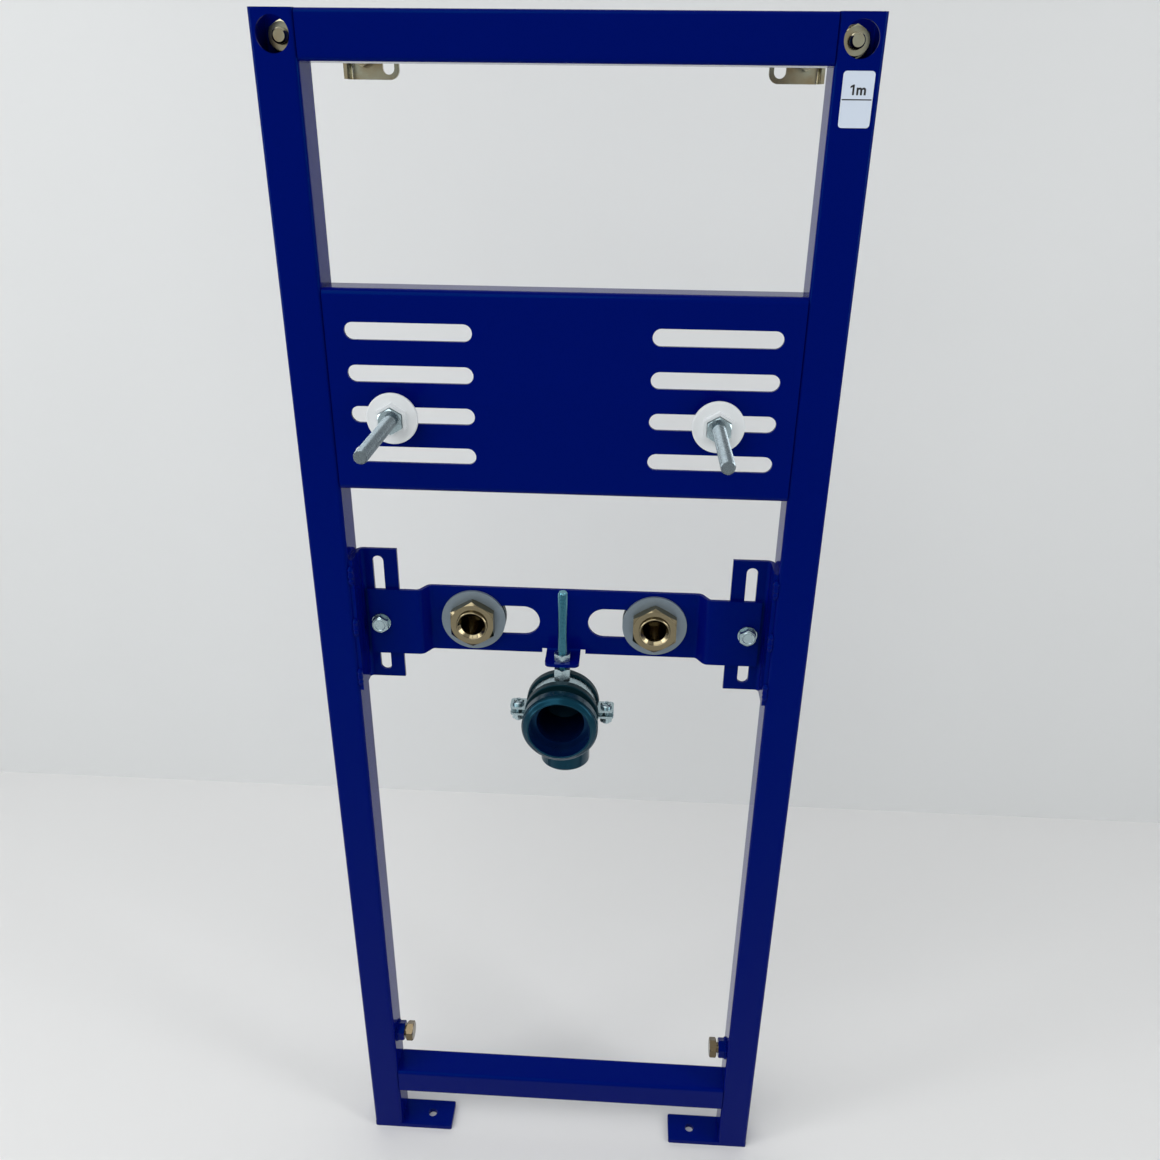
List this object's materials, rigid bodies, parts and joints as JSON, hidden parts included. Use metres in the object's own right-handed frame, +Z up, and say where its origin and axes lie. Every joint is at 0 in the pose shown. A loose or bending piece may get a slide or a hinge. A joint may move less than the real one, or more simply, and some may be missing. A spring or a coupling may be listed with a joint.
{
  "type": "basin installation frame",
  "caption": "Blue tube frame for a wall-hung basin, with slotted stud plate, tap and drain connections on a traverse, wall brackets and telescopic legs.",
  "frame": {"origin": "on the underside of the left foot plate, on the axis of the left upright", "axes": "+X to the right along the frame, +Y away from the viewer towards the wall, +Z up"},
  "size_m": [0.4, 0.333, 1.055],
  "materials": {
    "blue_paint": "gloss powder coat",
    "yellow_zinc": "yellow passivated zinc",
    "bright_zinc": "bright zinc plate",
    "brass": "bare machined brass",
    "white_plastic": "moulded white plastic",
    "drain_plastic": "dark grey-green polypropylene",
    "black_rubber": "black rubber"
  },
  "bodies": {
    "frame": {"left_upright": "blue_paint", "right_upright": "blue_paint", "top_rail": "blue_paint", "bottom_rail": "blue_paint", "cross_plate": "blue_paint", "left_fitting_angle": "blue_paint", "right_fitting_angle": "blue_paint", "clamp_nuts": "blue_paint", "left_wall_rod": "yellow_zinc", "right_wall_rod": "yellow_zinc", "left_wall_bracket": "yellow_zinc", "right_wall_bracket": "yellow_zinc", "rod_nuts": "yellow_zinc", "rod_washers": "yellow_zinc", "clamp_bolts": "yellow_zinc", "left_basin_stud": "bright_zinc", "right_basin_stud": "bright_zinc", "stud_nuts": "bright_zinc", "stud_washers": "bright_zinc", "left_stud_collar": "white_plastic", "right_stud_collar": "white_plastic"},
    "left_leg": {"left_leg_tube": "blue_paint", "left_foot_plate": "blue_paint"},
    "right_leg": {"right_leg_tube": "blue_paint", "right_foot_plate": "blue_paint"},
    "traverse": {"tap_traverse": "blue_paint", "traverse_bolts": "bright_zinc", "bolt_washers": "bright_zinc", "bolt_nuts": "bright_zinc", "left_tap_elbow": "brass", "right_tap_elbow": "brass", "left_tap_nut": "brass", "right_tap_nut": "brass", "left_tap_washer": "bright_zinc", "right_tap_washer": "bright_zinc", "left_tap_seal": "black_rubber", "right_tap_seal": "black_rubber", "drain_rod": "bright_zinc", "drain_rod_nut": "bright_zinc", "pipe_clamp_upper": "bright_zinc", "pipe_clamp_lower": "bright_zinc", "pipe_clamp_lining": "black_rubber", "pipe_clamp_screws": "bright_zinc", "drain_elbow": "drain_plastic"}
  },
  "joints": [
    {"name": "left_leg_slide", "type": "slide", "parent": "frame", "child": "left_leg", "axis": [0, 0, -1], "range_m": [0, 0.2]},
    {"name": "right_leg_slide", "type": "slide", "parent": "frame", "child": "right_leg", "axis": [0, 0, -1], "range_m": [0, 0.2]},
    {"name": "traverse_slide", "type": "slide", "parent": "frame", "child": "traverse", "axis": [0, 0, 1], "range_m": [-0.043, 0.052]}
  ]
}
